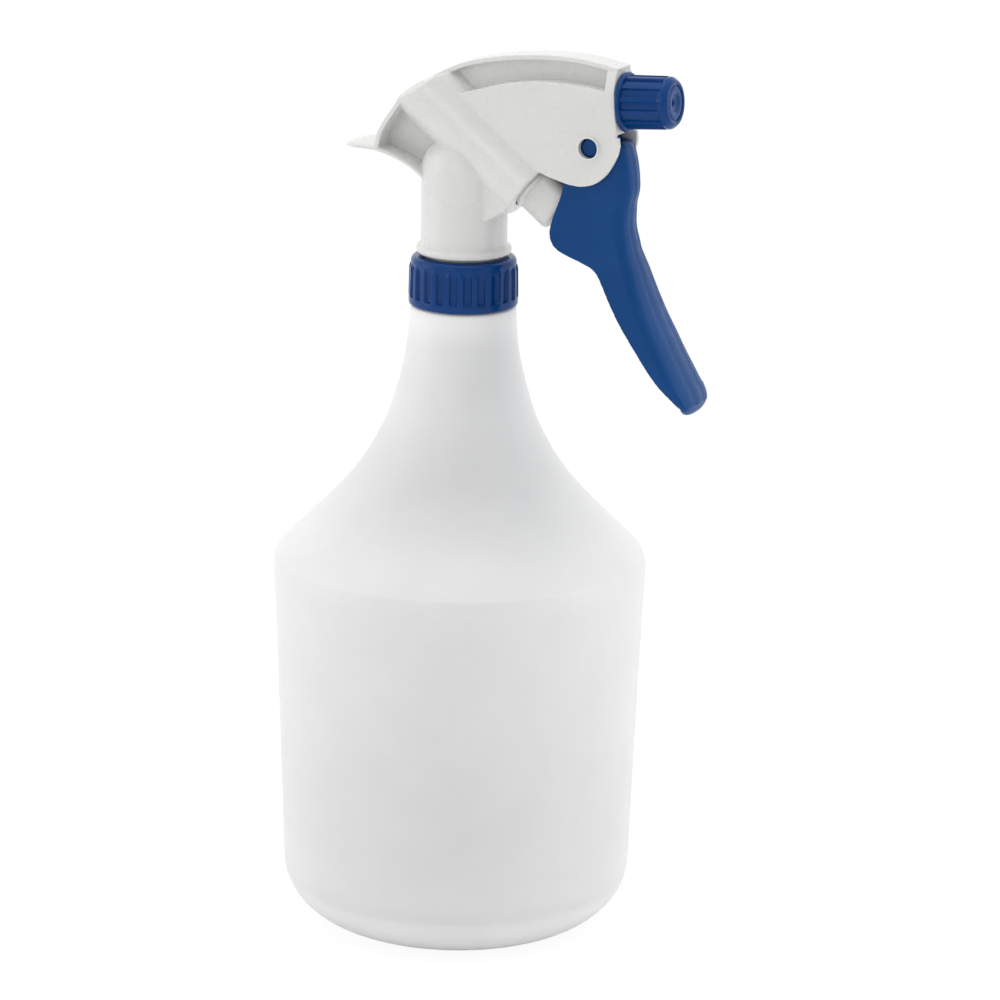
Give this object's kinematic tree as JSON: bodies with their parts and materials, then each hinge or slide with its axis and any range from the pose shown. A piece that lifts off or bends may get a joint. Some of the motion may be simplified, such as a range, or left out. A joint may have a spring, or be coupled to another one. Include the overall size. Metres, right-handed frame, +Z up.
{
  "type": "spray_bottle",
  "caption": "Trigger spray bottle, about one litre by estimate: milky translucent bottle with a cone shoulder, ribbed blue screw collar, white sprayer body, blue trigger and blue adjustable nozzle.",
  "frame": {"origin": "centre of the flat base of the bottle, on the floor, on the bottle's axis", "axes": "+Z up along the bottle, +X toward the nozzle, +Y to the sprayer's left"},
  "size_m": [0.1306, 0.1104, 0.2639],
  "materials": {
    "milky_hdpe": "translucent natural polyethylene, satin",
    "blue_gloss": "moulded, glossy",
    "blue_satin": "moulded, fine spark grain on the grip",
    "white_pp": "moulded, semi-gloss",
    "natural_pp": "natural polypropylene",
    "clear_tube": "extruded, translucent",
    "gasket_foam": "foamed polyethylene",
    "dark_seal": "elastomer",
    "steel_ball": "polished stainless ball",
    "spring_steel": "drawn stainless wire"
  },
  "bodies": {
    "bottle_body": {"bottle": "milky_hdpe"},
    "rim_gasket": {"neck_gasket": "gasket_foam"},
    "head": {"sprayer_body": "white_pp", "tube_holder": "natural_pp", "ball_retainer": "natural_pp", "dip_tube": "clear_tube", "dip_tube_filter": "natural_pp", "return_spring": "spring_steel", "outlet_spring": "spring_steel", "outlet_sleeve": "natural_pp", "spinner": "white_pp", "nozzle_seal": "dark_seal"},
    "collar": {"screw_collar": "blue_gloss"},
    "trigger_lever": {"trigger": "blue_satin"},
    "piston_rod": {"piston": "white_pp", "piston_seal": "dark_seal", "vent_seal": "dark_seal"},
    "inlet_valve": {"inlet_ball": "steel_ball"},
    "outlet_valve": {"outlet_ball": "steel_ball"},
    "nozzle": {"nozzle_cap": "blue_gloss"}
  },
  "joints": [
    {"name": "head_lift", "type": "slide", "parent": "bottle_body", "child": "rim_gasket", "axis": [0, 0, 1], "range_m": [0, 0.205]},
    {"name": "unscrew_rise", "type": "slide", "parent": "rim_gasket", "child": "head", "axis": [0, 0, 1], "range_m": [0, 0.00634]},
    {"name": "collar_turn", "type": "hinge", "parent": "head", "child": "collar", "pos_m": [0, 0, 0.195], "axis": [0, 0, 1], "range_deg": [0, 540]},
    {"name": "trigger_squeeze", "type": "hinge", "parent": "head", "child": "trigger_lever", "pos_m": [0.042, 0, 0.239], "axis": [0, 1, 0], "range_deg": [0, 22], "stiffness_Nm_per_rad": 0.6},
    {"name": "piston_stroke", "type": "slide", "parent": "head", "child": "piston_rod", "axis": [-0.7844, 0, 0.6203], "range_m": [0, 0.0092], "deforming": ["return_spring"]},
    {"name": "inlet_ball_lift", "type": "slide", "parent": "head", "child": "inlet_valve", "axis": [0, 0, 1], "range_m": [0, 0.003]},
    {"name": "outlet_ball_lift", "type": "slide", "parent": "head", "child": "outlet_valve", "axis": [0.9976, 0, 0.0698], "range_m": [0, 0.0015], "stiffness_N_per_m": 60, "deforming": ["outlet_spring"]},
    {"name": "nozzle_turn", "type": "hinge", "parent": "head", "child": "nozzle", "pos_m": [0.05, 0, 0.2518], "axis": [0.9976, 0, 0.0698], "range_deg": [0, 270]}
  ],
  "couplings": [
    {"joint": "collar_turn", "follows": "unscrew_rise", "rad_per_m": 1485.4},
    {"joint": "piston_stroke", "follows": "trigger_squeeze", "m_per_rad": 0.0239}
  ]
}
